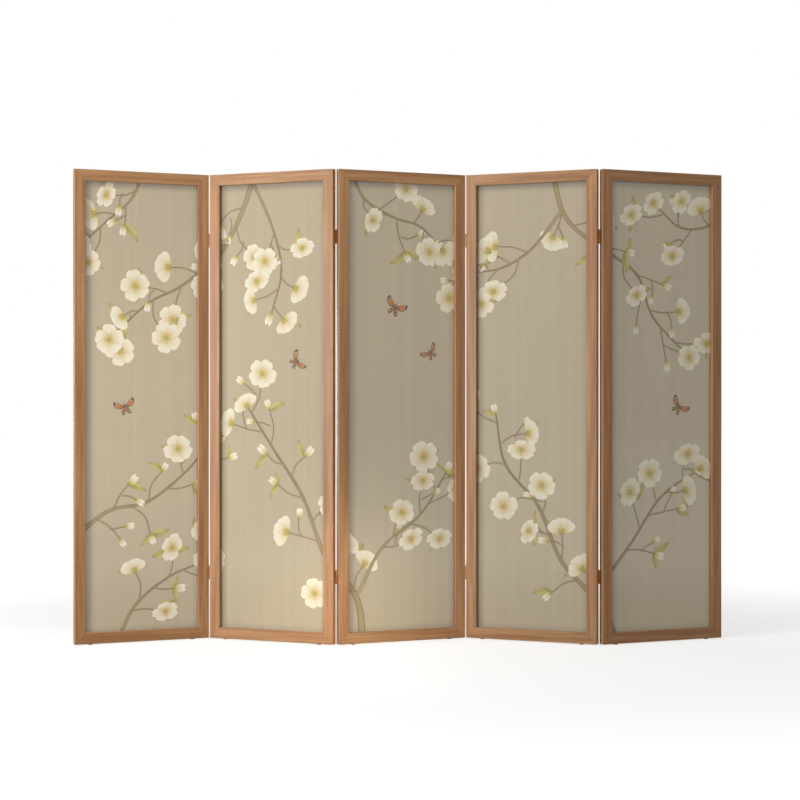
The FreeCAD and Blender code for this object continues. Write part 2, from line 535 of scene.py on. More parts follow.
        tone = 1 + chance.uniform(-self.tone_spread, self.tone_spread)
        colour = graph.layered(
            self.late_wood,
            (self.streaks.shown(graph, streaks), self.early_wood), (self.ground_share, self.ground),
            (self.rings.shown(graph, rings), self.late_wood),
            (self.fibres.shown(graph, fibres), self.early_wood),
            (graph.times(pores, self.pores.strength), self.pore),
        )
        colour = graph.mixed(1.0, colour, (tone, tone, tone), "MULTIPLY")
        height = graph.minus(graph.times(fibres, self.fibre_rise), pores)
        height = graph.minus(height, graph.times(seam, self.seam_fall))
        shader = graph.add("BsdfPrincipled", {
            "Base Color": graph.layered(colour, (graph.times(wear_and_edge_highlight, self.worn_lit_edge_depth), self.worn_lit_edge),
                                        (graph.times(seam, self.seam_depth), self.pore)),
            "Roughness": graph.weighed(self.roughness, (streaks, self.rougher_streaks),
                                       (wear_and_edge_highlight, self.rougher_wear), (pores, self.rougher_pores)),
            "Normal": graph.bump(height, self.relief, self.bump),
            "Specular IOR Level": self.gloss,
            "Coat Weight": self.coat,
            "Coat Roughness": self.coat_roughness,
        })
        return graph.finished(shader.outputs[0])


@dataclass(frozen=True)
class MetalFinish:
    """Brushed metal with a little patina and bright rubbed spots."""

    name: str
    ground: Colour
    patina: Colour
    rubbed: Colour
    roughness: float
    rougher_clouds: float = 0.16
    brush_width: float = 0.12 * MM
    brush_length: float = 9 * MM
    brush_range: Range = (0.35, 0.75, 0.0, 0.5)
    cloud_scale: float = 160.0
    cloud_range: Range = (0.35, 0.7)
    spot_scale: float = 900.0
    spot_range: Range = (0.55, 0.75)
    spot_depth: float = 0.25
    relief: float = 0.03 * MM
    bump: float = 0.5

    def material(self) -> bpy.types.Material:
        """The metal, brushed along its height.

        Returns:
            The material.
        """
        graph = Graph(self.name)
        place = graph.add("TexCoord").outputs["Object"]
        factors = (1 / self.brush_width, 1 / self.brush_width, 1 / self.brush_length)
        brushed = graph.noise(graph.scaled(place, factors), detail=1)
        clouds = graph.noise(place, self.cloud_scale, 4, 0.6)
        spots = graph.ranged(graph.noise(place, self.spot_scale, 2), *self.spot_range)
        colour = graph.layered(
            self.ground, (graph.ranged(clouds, *self.cloud_range), self.patina),
            (graph.ranged(brushed, *self.brush_range), self.rubbed),
            (graph.times(spots, self.spot_depth), self.patina),
        )
        shader = graph.add("BsdfPrincipled", {
            "Base Color": colour,
            "Metallic": 1.0,
            "Roughness": graph.weighed(self.roughness, (clouds, self.rougher_clouds)),
            "Normal": graph.bump(brushed, self.relief, self.bump),
        })
        return graph.finished(shader.outputs[0])


@dataclass(frozen=True)
class MouldedFinish:
    """Hard moulded plastic with a fine grain, scuffed where it meets the floor."""

    name: str = "moulded_glide"
    ground: Colour = shade(74, 58, 46)
    scuffed: Colour = shade(126, 110, 96)
    scuff_height: float = 0.9 * MM
    scuff_range: Range = (0.4, 0.7)
    grain_scale: float = 2600.0
    cloud_scale: float = 240.0
    cloud_depth: float = 0.3
    roughness: float = 0.46
    rougher_scuffs: float = 0.3
    relief: float = 0.05 * MM
    bump: float = 0.4

    def material(self) -> bpy.types.Material:
        """The plastic of the glides.

        Returns:
            The material.
        """
        graph = Graph(self.name)
        place = graph.add("TexCoord").outputs["Object"]
        grains = graph.noise(place, self.grain_scale, 2)
        clouds = graph.noise(place, self.cloud_scale, 3)
        low = graph.ranged(graph.split(place)[2], 0.0, self.scuff_height, 1, 0)
        scuffs = graph.times(low, graph.ranged(clouds, *self.scuff_range))
        cloudy = graph.times(clouds, self.cloud_depth)
        shader = graph.add("BsdfPrincipled", {
            "Base Color": graph.layered(self.ground, (cloudy, self.scuffed), (scuffs, self.scuffed)),
            "Roughness": graph.weighed(self.roughness, (scuffs, self.rougher_scuffs)),
            "Normal": graph.bump(grains, self.relief, self.bump),
        })
        return graph.finished(shader.outputs[0])


@dataclass(frozen=True)
class SheerFinish:
    """Fine sheer cloth in plain weave, part see-through, part glowing with the light behind it.

    Painted shade darkens the cloth along its frame, as the frame's shadow on the recessed cloth would: the
    left and the right side first, then the top and the bottom, each as how far in from the frame the shade
    reaches and the least of the cloth's tone beside the frame.
    """

    name: str = "printed_sheer"
    thread: Colour = shade(189, 172, 138)
    slub: Colour = shade(205, 190, 159)
    shadow_thread: Colour = shade(165, 148, 115)
    pitch: float = 0.7 * MM
    over_range: Range = (-0.2, 0.2)
    under_share: float = 0.6
    gap_range: Range = (0.45, 0.75, 1.0, 0.0)
    gap_depth: float = 0.25
    leaf_shift: float = 1.7
    band_scales: tuple[float, float, float] = (38.0, 1.0, 0.4)
    band_range: Range = (0.3, 0.7, 0.0, 0.18)
    slub_across: float = 900.0
    slub_along: float = 6.0
    slub_range: Range = (0.55, 0.8)
    slub_depth: float = 0.3
    see_through: float = 0.13
    see_through_range: Range = (0.0, 1.0, 0.4, 2.1)
    ink_see_through: float = 0.35
    ink_cover: float = 0.85
    ink_on_slubs: float = 0.93
    glow: float = 0.22
    relief: float = 0.07 * MM
    bump: float = 0.35
    roughness_range: Range = (0.0, 1.0, 0.85, 0.62)
    sheen: float = 0.25
    sheen_roughness: float = 0.35
    gloss: float = 0.3
    print_name: str = "print"
    side_shades: tuple[tuple[float, float], ...] = ((32 * MM, 0.42), (24 * MM, 0.78))
    end_shades: tuple[tuple[float, float], ...] = ((28 * MM, 0.52), (22 * MM, 0.8))
    shade_power: float = 1.2

    def painted_frame_shade(self, graph: Graph, leaf: Leaf, place: Socket) -> Socket:
        """The painted shade along the cloth's frame, most along the left side and the top.

        Args:
            graph: The material's nodes.
            leaf: The leaf that the cloth is stretched in.
            place: Where each point of the cloth lies in its leaf.

        Returns:
            1 in the open cloth, less towards the frame.
        """
        x, _, z = graph.split(place)
        side, low = leaf.half_width - leaf.member_width, leaf.bottom + leaf.member_width
        high = leaf.top - leaf.member_width
        gaps = (graph.plus(x, side), graph.minus(side, x), graph.minus(high, z), graph.minus(z, low))
        tone: Value = 1.0
        for gap, (reach, least) in zip(gaps, self.side_shades + self.end_shades):
            near = graph.minus(1.0, graph.math("DIVIDE", gap, reach), clamp=True)
            fade = graph.math("POWER", near, self.shade_power)
            tone = graph.times(tone, graph.minus(1.0, graph.times(fade, 1 - least)))
        return tone

    def weave(self, graph: Graph, place: Socket) -> Socket:
        """How high the threads stand: each one goes over and under those across it.

        Args:
            graph: The material's nodes.
            place: Where each point of the cloth lies.

        Returns:
            1 on top of a thread, 0 in the gaps between them.
        """
        x, _, z = graph.split(place)
        across = graph.math("SINE", graph.times(x, math.pi / self.pitch))
        down = graph.math("SINE", graph.times(z, math.pi / self.pitch))
        warp = graph.math("SQRT", graph.absolute(across))
        weft = graph.math("SQRT", graph.absolute(down))
        lift = graph.times(graph.ranged(graph.times(across, down), *self.over_range), 1 - self.under_share)
        high = graph.times(warp, graph.plus(self.under_share, lift))
        return graph.greater(high, graph.times(weft, graph.minus(1.0, lift)))

    def material(self, leaf: Leaf) -> bpy.types.Material:
        """The cloth of one leaf, with its print read from the sheet's painted corners.

        Args:
            leaf: The leaf that the cloth is stretched in.

        Returns:
            The material.
        """
        graph = Graph(f"{self.name}_{leaf.number}")
        place = leaf.local_place(graph)
        # painted shade: the cloth darkens towards its frame, as in the frame's shadow
        tone = self.painted_frame_shade(graph, leaf, place)
        place = graph.shifted(place, (leaf.number * self.leaf_shift, 0.0, 0.0))
        threads = self.weave(graph, place)
        gaps = graph.ranged(threads, *self.gap_range)
        bands = graph.noise(graph.scaled(place, self.band_scales), detail=3)
        slubs = graph.greater(*(
            graph.noise(graph.scaled(place, (along_x, 1.0, along_z)), detail=1)
            for along_x, along_z in ((self.slub_across, self.slub_along), (self.slub_along, self.slub_across))
        ))
        slubs = graph.ranged(slubs, *self.slub_range)
        printed = graph.add("Attribute", attribute_name=self.print_name).outputs
        ink = graph.times(printed["Alpha"], self.ink_cover)
        ink = graph.times(ink, graph.ranged(slubs, 0, 1, 1, self.ink_on_slubs))
        colour = graph.layered(
            self.thread, (graph.ranged(bands, *self.band_range), self.shadow_thread),
            (graph.times(slubs, self.slub_depth), self.slub),
            (graph.times(gaps, self.gap_depth), self.shadow_thread), (ink, printed["Color"]),
        )
        # the painted frame shade multiplies the cloth's colour
        colour = graph.mixed(1.0, colour, graph.joined(tone, tone, tone), "MULTIPLY")

        normal = graph.bump(threads, self.relief, self.bump)
        front = graph.add("BsdfPrincipled", {
            "Base Color": colour,
            "Roughness": graph.ranged(threads, *self.roughness_range),
            "Normal": normal,
            "Sheen Weight": self.sheen,
            "Sheen Roughness": self.sheen_roughness,
            "Specular IOR Level": self.gloss,
        })
        behind = graph.add("BsdfTranslucent", {"Color": colour, "Normal": normal})
        cloth = graph.add("MixShader", {0: self.glow, 1: front.outputs[0], 2: behind.outputs[0]})
        clear = graph.add("BsdfTransparent")
        open_share = graph.times(graph.ranged(gaps, *self.see_through_range), self.see_through)
        open_share = graph.times(open_share, graph.ranged(printed["Alpha"], 0, 1, 1, self.ink_see_through))
        surface = graph.add("MixShader", {0: open_share, 1: cloth.outputs[0], 2: clear.outputs[0]})
        return graph.finished(surface.outputs[0])


@dataclass(frozen=True)
class Tint:
    """A colour that changes along a line: stops are (share of the way, colour)."""

    start: Vector
    end: Vector
    stops: Stops
    density: float = 1.0

    def at(self, points: np.ndarray) -> np.ndarray:
        """The colour and the density of the ink at some points of the design.

        Args:
            points: The points, as rows.

        Returns:
            A row of red, green, blue and density for each point.
        """
        line = np.array(self.end - self.start)
        shares = (points - np.array(self.start)) @ line / max(line @ line, 1e-12)
        places = [stop[0] for stop in self.stops]
        channels = [np.interp(shares, places, [stop[1][n] for stop in self.stops]) for n in range(3)]
        return np.stack([*channels, np.full(len(points), self.density)], 1)


@dataclass(frozen=True)
class Patch:
    """One printed area: a closed outline and its tint. A later patch covers an earlier one."""

    outline: tuple[Vector, ...]
    tint: Tint


@dataclass(frozen=True)
class Palette:
    """The colours of the print."""

    petal: Colour = shade(251, 244, 222)
    petal_shade: Colour = shade(230, 210, 152)
    petal_line: Colour = shade(192, 172, 122)
    heart: Colour = shade(214, 174, 80)
    pollen: Colour = shade(196, 138, 48)
    bud_green: Colour = shade(184, 172, 84)
    foliage: Colour = shade(198, 186, 96)
    foliage_dark: Colour = shade(144, 138, 74)
    bark: Colour = shade(150, 131, 91)
    bark_light: Colour = shade(174, 154, 108)
    bark_line: Colour = shade(98, 80, 50)
    wing_brown: Colour = shade(122, 78, 46)
    wing_orange: Colour = shade(206, 128, 58)
    wing_dark: Colour = shade(48, 38, 34)
    wing_light: Colour = shade(244, 234, 214)


INK = Palette()


@dataclass(frozen=True)
class Pen:
    """The widths of the print's fine lines. A tuple gives them from a line's start to its end."""

    petal_rim: float = 0.5 * MM
    petal_vein: tuple[float, ...] = (0.9 * MM, 0.7 * MM, 0.2 * MM)
    stamen: tuple[float, ...] = (0.7 * MM, 0.5 * MM)
    leaf_stalk: float = 0.3 * MM
    leaf_tip: float = 0.2 * MM
    leaf_rim: float = 0.9 * MM
    leaf_rib: float = 1.1 * MM
    leaf_vein: tuple[float, ...] = (0.7 * MM, 0.2 * MM)
    feeler: tuple[float, ...] = (0.7 * MM, 0.5 * MM, 0.7 * MM)
    twig: tuple[float, float] = (4.6 * MM, 2.4 * MM)
    least_wood: float = 0.5 * MM
    least_bark: float = 1.6 * MM
    bark_share: float = 0.16
    least_marked_wood: float = 7 * MM
    bark_mark: tuple[float, ...] = (1.0 * MM, 0.3 * MM)


PEN = Pen()


def plain(colour: Colour, density: float = 1.0) -> Tint:
    """A tint of one colour."""
    return Tint(Vector((0, 0)), Vector((0, 1)), ((0.0, colour),), density)


def heading(degrees: float) -> Vector:
    """A step of length 1 in the design, at an angle from level."""
    return Vector((math.cos(math.radians(degrees)), math.sin(math.radians(degrees))))


def left_of(step: Vector) -> Vector:
    """A step in the design, turned a quarter to the left."""
    return Vector((-step.y, step.x))


def outlined(base: Vector, step: Vector, size: float, shares: Shares) -> tuple[Vector, ...]:
    """An outline from its points along and to the left of a step, in shares of a size."""
    side = left_of(step)
    return tuple(base + step * (a * size) + side * (b * size) for a, b in shares)


def turns_round(outline: np.ndarray, points: np.ndarray) -> np.ndarray:
    """How many times an outline runs round each point.

    Args:
        outline: The outline's corners, as rows.
        points: The points, as rows.

    Returns:
        The count for each point, 0 for one outside.
    """
    ahead = np.roll(outline, -1, 0)
    x, y = points[:, :1], points[:, 1:]
    step = ahead - outline
    side = step[:, 0] * (y - outline[:, 1]) - (x - outline[:, 0]) * step[:, 1]
    rising = (outline[:, 1] <= y) & (ahead[:, 1] > y) & (side > 0)
    falling = (outline[:, 1] > y) & (ahead[:, 1] <= y) & (side < 0)
    return rising.sum(1) - falling.sum(1)


def triangulated(outlines: list[tuple[Vector, ...]], extra: list[Vector]) -> tuple[np.ndarray, np.ndarray]:
    """Triangles whose sides follow some outlines.

    Args:
        outlines: The outlines, each closed by a side from its last corner to its first.
        extra: More points that become corners.

    Returns:
        The points, in the order they were given, with those where outlines cross after them, and
        the triangles as rows of three numbers of points.
    """
    corners, sides = [], []
    for rim in outlines:
        start, count = len(corners), len(rim)
        sides += [(start + n, start + (n + 1) % count) for n in range(count)]
        corners += rim
    found = delaunay_2d_cdt([*corners, *extra], sides, [], 0, 1e-6)
    return np.array(found[0]), np.array(found[2])


def smooth_line(points: list[Vector], steps: int) -> list[Vector]:
    """Points along a smooth curve through some given ones.

    Args:
        points: The points that it passes through.
        steps: How many steps it takes from one to the next.

    Returns:
        The points of the curve.
    """
    ends = [2 * points[0] - points[1], *points, 2 * points[-1] - points[-2]]
    curve = []
    for before, here, then, after in zip(ends, ends[1:], ends[2:], ends[3:]):
        for step in range(steps):
            t = step / steps
            curve.append(0.5 * (2 * here + (then - before) * t
                                + (2 * before - 5 * here + 4 * then - after) * t ** 2
                                + (3 * here - before - 3 * then + after) * t ** 3))
    return [*curve, points[-1]]


def ribbon(line: list[Vector], widths: Sequence[float]) -> tuple[Vector, ...]:
    """The outline of a stroke along a line.

    Args:
        line: The points of its middle.
        widths: Its width at each of them.

    Returns:
        The outline.
    """
    left, right = [], []
    for n, (here, width) in enumerate(zip(line, widths)):
        along = line[min(n + 1, len(line) - 1)] - line[max(n - 1, 0)]
        side = left_of(along).normalized() * (width / 2)
        left.append(here + side)
        right.append(here - side)
    return (*right, *reversed(left))


@dataclass(frozen=True)
class Petal:
    """A round petal: it starts at a point and reaches along a heading."""

    base: Vector
    degrees: float
    length: float
    width: float
    notch_share: float = 0.07
    notch_spread: float = 0.3
    flattening: float = 1.0
    lean: float = 0.0
    points: int = 26
    root_share: float = 0.62
    swell_share: float = 0.5
    shaded_shares: Shares = ((0.12, 0.06), (0.45, 0.3), (0.72, 0.44), (0.5, 0.46), (0.25, 0.27))
    vein_spreads: tuple[float, ...] = (-0.2, 0.0, 0.2)
    vein_start_shares: tuple[float, float] = (0.16, 0.3)
    vein_middle_shares: tuple[float, float] = (0.6, 0.8)
    vein_reach_shares: Range = (0.6, 0.78)

    def place(self, along: float, across: float) -> Vector:
        """A point of the petal, with its foreshortening.

        Args:
            along: How far from its base.
            across: How far to the left of its middle line.

        Returns:
            The point in the design.
        """
        step = heading(self.degrees)
        turned = Matrix.Rotation(-self.lean, 2) @ (step * along + left_of(step) * across)
        turned.y *= self.flattening
        return self.base + Matrix.Rotation(self.lean, 2) @ turned

    def outline(self, grow: float = 0.0) -> tuple[Vector, ...]:
        """The petal's outline.

        Args:
            grow: How much wider it is all round.

        Returns:
            The points, in order.
        """
        rim = []
        for n in range(self.points):
            angle = 2 * math.pi * n / self.points
            along = (self.length + 2 * grow) / 2 * (1 - math.cos(angle)) - grow
            swell = self.root_share + self.swell_share * along / self.length
            across = (self.width / 2 + grow) * math.sin(angle) * swell
            depth = self.notch_share * self.length
            notch = depth * math.exp(-(((angle - math.pi) / self.notch_spread) ** 2))
            rim.append(self.place(along - notch, across))
        return tuple(rim)

    def body(self, stops: Stops) -> list[Patch]:
        """The petal's fine rim and its body, tinted from its base to its tip."""
        tint = Tint(self.place(0, 0), self.place(self.length, 0), stops)
        return [Patch(self.outline(PEN.petal_rim), plain(INK.petal_line)), Patch(self.outline(), tint)]

    def patches(self, chance: random.Random) -> list[Patch]:
        """The petal's fine rim, its body, its shaded side and its veins.

        Args:
            chance: The source of small differences.

        Returns:
            The patches, from the lowest up.
        """
        base, tip = self.place(0, 0), self.place(self.length, 0)
        found = self.body((
            (0.0, INK.heart), (0.22, INK.petal_shade), (0.5, between(INK.petal_shade, INK.petal, 0.7)),
            (0.8, INK.petal), (1.0, between(INK.petal, INK.petal_shade, 0.25)),
        ))
        side = math.copysign(1, chance.uniform(-1, 1))
        shaded = tuple(self.place(self.length * s, side * self.width * w) for s, w in self.shaded_shares)
        found.append(Patch(shaded, Tint(base, tip, ((0.1, INK.petal_shade), (0.7, INK.petal)), 0.9)))
        for spread in self.vein_spreads:
            reach, across = self.length * chance.uniform(*self.vein_reach_shares), spread * self.width
            (start, start_across), (middle, middle_across) = self.vein_start_shares, self.vein_middle_shares
            line = [self.place(self.length * start, across * start_across),
                    self.place(reach * middle, across * middle_across), self.place(reach, across)]
            tint = Tint(base, tip, ((0.1, INK.heart), (0.6, INK.petal_line)), 0.7)
            found.append(Patch(ribbon(line, PEN.petal_vein), tint))
        return found


def dot(centre: Vector, radius: float, tint: Tint, sides: int = 7) -> Patch:
    """A small round patch."""
    return Patch(tuple(centre + heading(360 * n / sides) * radius for n in range(sides)), tint)


@dataclass(frozen=True)
class Blossom:
    """A round cream blossom with a yellow heart."""

    centre: Vector
    radius: float
    degrees: float
    facing: Facing
    petal_turn: Range = (-6, 6)
    petal_length_shares: Range = (0.9, 1.06)
    petal_width_shares: Range = (0.9, 1.04)
    heart_share: float = 0.17
    stamens: int = 13
    stamen_turn: Range = (-9, 9)
    stamen_shares: tuple[float, float] = (0.22, 0.36)
    pollen_share: float = 0.024
    cup_share: float = 0.2
    cup_shares: Shares = (
        (-0.9, 0.0), (-0.6, -0.55), (0.3, -0.95), (1.5, -0.9), (0.9, -0.2), (1.7, 0.0),
        (0.9, 0.2), (1.5, 0.9), (0.3, 0.95), (-0.6, 0.55),
    )

    def patches(self, chance: random.Random) -> list[Patch]:
        """The blossom's petals, heart and stamens.

        Args:
            chance: The source of small differences.

        Returns:
            The patches, from the lowest up.
        """
        count, spread, flattening = self.facing.value
        cupped = self.facing is Facing.CUPPED
        found = []
        for n in range(count):
            turn = spread * (n / (count - 1) - 0.5) if cupped else spread * (n / count)
            petal = Petal(
                self.centre, self.degrees + 90 + turn + chance.uniform(*self.petal_turn),
                self.radius * chance.uniform(*self.petal_length_shares),
                self.radius * chance.uniform(*self.petal_width_shares),
                flattening=flattening, lean=math.radians(self.degrees),
            )
            found += petal.patches(chance)
        return found + ([self.cup()] if cupped else self.middle(chance))

    def middle(self, chance: random.Random) -> list[Patch]:
        """The heart of an open blossom and the stamens round it.

        Args:
            chance: The source of small differences.

        Returns:
            The patches, from the lowest up.
        """
        heart = self.radius * self.heart_share
        tint = Tint(self.centre, self.centre + heading(90) * heart, ((0.0, INK.bud_green), (1.0, INK.heart)))
        found = [dot(self.centre, heart, tint, 12)]
        for n in range(self.stamens):
            step = heading(360 * n / self.stamens + chance.uniform(*self.stamen_turn))
            end = self.centre + step * self.radius * chance.uniform(*self.stamen_shares)
            start = self.centre + step * heart * 0.5
            found.append(Patch(ribbon([start, end], PEN.stamen), plain(INK.heart)))
            found.append(dot(end, self.radius * self.pollen_share, plain(INK.pollen), 6))
        return found

    def cup(self) -> Patch:
        """The green cup under a blossom seen from the side.

        Returns:
            The patch.
        """
        step, size = heading(self.degrees + 90), self.radius * self.cup_share
        tint = Tint(self.centre - step * size, self.centre + step * size * 1.5,
                    ((0.0, INK.foliage_dark), (0.5, INK.bud_green), (1.0, INK.heart)))
        return Patch(outlined(self.centre, step, size, self.cup_shares), tint)


@dataclass(frozen=True)
class Bud:
    """A closed cream bud in a green cup."""

    base: Vector
    degrees: float
    length: float
    turn: Range = (-8, 8)
    petal_leans: tuple[float, float] = (-9, 8)
    petal_width_shares: tuple[float, float] = (0.5, 0.42)
    cup_shares: Shares = (
        (-0.08, 0.0), (-0.02, -0.09), (0.16, -0.16), (0.36, -0.12), (0.24, -0.02),
        (0.4, 0.05), (0.3, 0.13), (0.1, 0.15), (-0.02, 0.09),
    )

    def patches(self, chance: random.Random) -> list[Patch]:
        """The bud's two petals and its cup.

        Args:
            chance: The source of small differences.

        Returns:
            The patches, from the lowest up.
        """
        turn = self.degrees + chance.uniform(*self.turn)
        found = []
        for lean, width_share in zip(self.petal_leans, self.petal_width_shares):
            petal = Petal(self.base, turn + lean, self.length, self.length * width_share, -0.1, points=18)
            found += petal.body(((0.1, INK.bud_green), (0.4, INK.petal_shade), (0.8, INK.petal)))
        step = heading(turn)
        tint = Tint(self.base, self.base + step * self.length * 0.4,
                    ((0.0, INK.foliage_dark), (0.5, INK.bud_green), (1.0, INK.foliage)))
        return [*found, Patch(outlined(self.base, step, self.length, self.cup_shares), tint)]


@dataclass(frozen=True)
class Foliage:
    """A pointed leaf with a midrib and side veins."""

    base: Vector
    degrees: float
    length: float
    curl: float
    steps: int = 9
    width_shares: tuple[float, float] = (0.3, 0.38)

    def patches(self, chance: random.Random) -> list[Patch]:
        """The leaf's outline, its two halves and its veins.

        Args:
            chance: The source of small differences.

        Returns:
            The patches, from the lowest up.
        """
        steps, width = self.steps, self.length * chance.uniform(*self.width_shares)
        line = [self.base + heading(self.degrees + self.curl * (s / steps - 0.3)) * (self.length * s / steps)
                for s in range(steps + 1)]
        widths = [width * math.sin(math.pi * (s / steps) ** 0.8) ** 0.85 for s in range(1, steps)]
        widths = [PEN.leaf_stalk, *widths, PEN.leaf_tip]
        rib = [PEN.leaf_rib * (1.1 - s / steps) for s in range(steps + 1)]
        rim = ribbon(line, widths)
        half = (*rim[:steps + 1], *reversed(line[1:-1]))
        green, warm, dark = INK.foliage, between(INK.foliage, INK.petal_shade, 0.35), INK.foliage_dark
        found = [
            Patch(ribbon(line, [w + PEN.leaf_rim for w in widths]), plain(dark, 0.9)),
            Patch(rim, Tint(line[0], line[-1], ((0.0, green), (0.6, warm), (1.0, dark)))),
            Patch(half, Tint(line[0], line[-1], ((0.0, dark), (0.7, green), (1.0, dark)))),
            Patch(ribbon(line, rib), plain(dark)),
        ]
        for s in range(2, steps - 2):
            along = (line[s + 1] - line[s]).normalized()
            for side in (-1, 1):
                away = left_of(along) * side
                tip = line[s] + along * width * 0.34 + away * widths[s] * 0.36
                found.append(Patch(ribbon([line[s], tip], PEN.leaf_vein), plain(dark, 0.7)))
        return found


@dataclass(frozen=True)
class Butterfly:
    """A small butterfly with spotted wings. Its shares run along and across it, from its middle."""

    centre: Vector
    degrees: float
    span: float
    hind_shares: Shares = ((0.0, 0.02), (-0.12, 0.16), (-0.28, 0.24), (-0.36, 0.14), (-0.22, 0.03))
    fore_shares: Shares = ((0.03, 0.02), (0.2, 0.22), (0.34, 0.45), (0.16, 0.5), (-0.02, 0.36), (-0.06, 0.12))
    spot_shares: tuple[tuple[float, float, float], ...] = (
        (0.22, 0.36, 0.026), (0.12, 0.41, 0.02), (0.29, 0.38, 0.016), (-0.25, 0.16, 0.024),
    )
    feeler_shares: Shares = ((0.16, 0.01), (0.28, 0.05), (0.36, 0.12))
    body_shares: tuple[float, ...] = (0.18, 0.1, 0.0, -0.12, -0.24)
    girth_shares: tuple[float, ...] = (0.02, 0.055, 0.05, 0.04, 0.012)

    def at(self, along: float, across: float) -> Vector:
        """A point of the butterfly, in shares of its span."""
        step = heading(self.degrees)
        return self.centre + (step * along + left_of(step) * across) * self.span

    def wing(self, side: int, shares: Shares, stops: Stops) -> list[Patch]:
        """One wing and its dark rim.

        Args:
            side: 1 for the left, -1 for the right.
            shares: Points of its outline, along and across the body.
            stops: Its colours from the body out.

        Returns:
            The patches.
        """
        corners = [self.at(a, b * side) for a, b in shares]
        rim = smooth_line([corners[-1], *corners, corners[0]], 4)[4:-4]
        middle = sum(rim, Vector((0, 0))) / len(rim)
        inner = tuple(middle + (p - middle) * 0.84 for p in rim)
        far = max(corners, key=lambda p: (p - self.centre).length)
        return [Patch(tuple(rim), plain(INK.wing_dark)), Patch(inner, Tint(self.centre, far, stops))]

    def patches(self) -> list[Patch]:
        """The butterfly's wings, spots, body and feelers.

        Returns:
            The patches, from the lowest up.
        """
        found = []
        fore_stops = ((0.1, INK.wing_brown), (0.55, INK.wing_orange), (0.9, INK.wing_dark))
        for side in (-1, 1):
            found += self.wing(side, self.hind_shares, ((0.1, INK.wing_orange), (0.6, INK.wing_brown)))
            found += self.wing(side, self.fore_shares, fore_stops)
            for along, across, size in self.spot_shares:
                found.append(dot(self.at(along, across * side), self.span * size, plain(INK.wing_light)))
            feeler = [self.at(along, across * side) for along, across in self.feeler_shares]
            found.append(Patch(ribbon(feeler, PEN.feeler), plain(INK.wing_dark)))
        body = [self.at(share, 0.0) for share in self.body_shares]
        tint = Tint(body[0], body[-1], ((0.0, INK.wing_dark), (1.0, INK.wing_brown)))
        found.append(Patch(ribbon(body, [self.span * share for share in self.girth_shares]), tint))
        return found


@dataclass(frozen=True)
class Bough:
    """A painted bough: its line in shares of the design, its width and what it bears."""

    line_shares: Shares
    root_width: float
    twigs: int
    seed: int
    first_twig_share: float = 0.12
    tip_width: float = 4 * MM


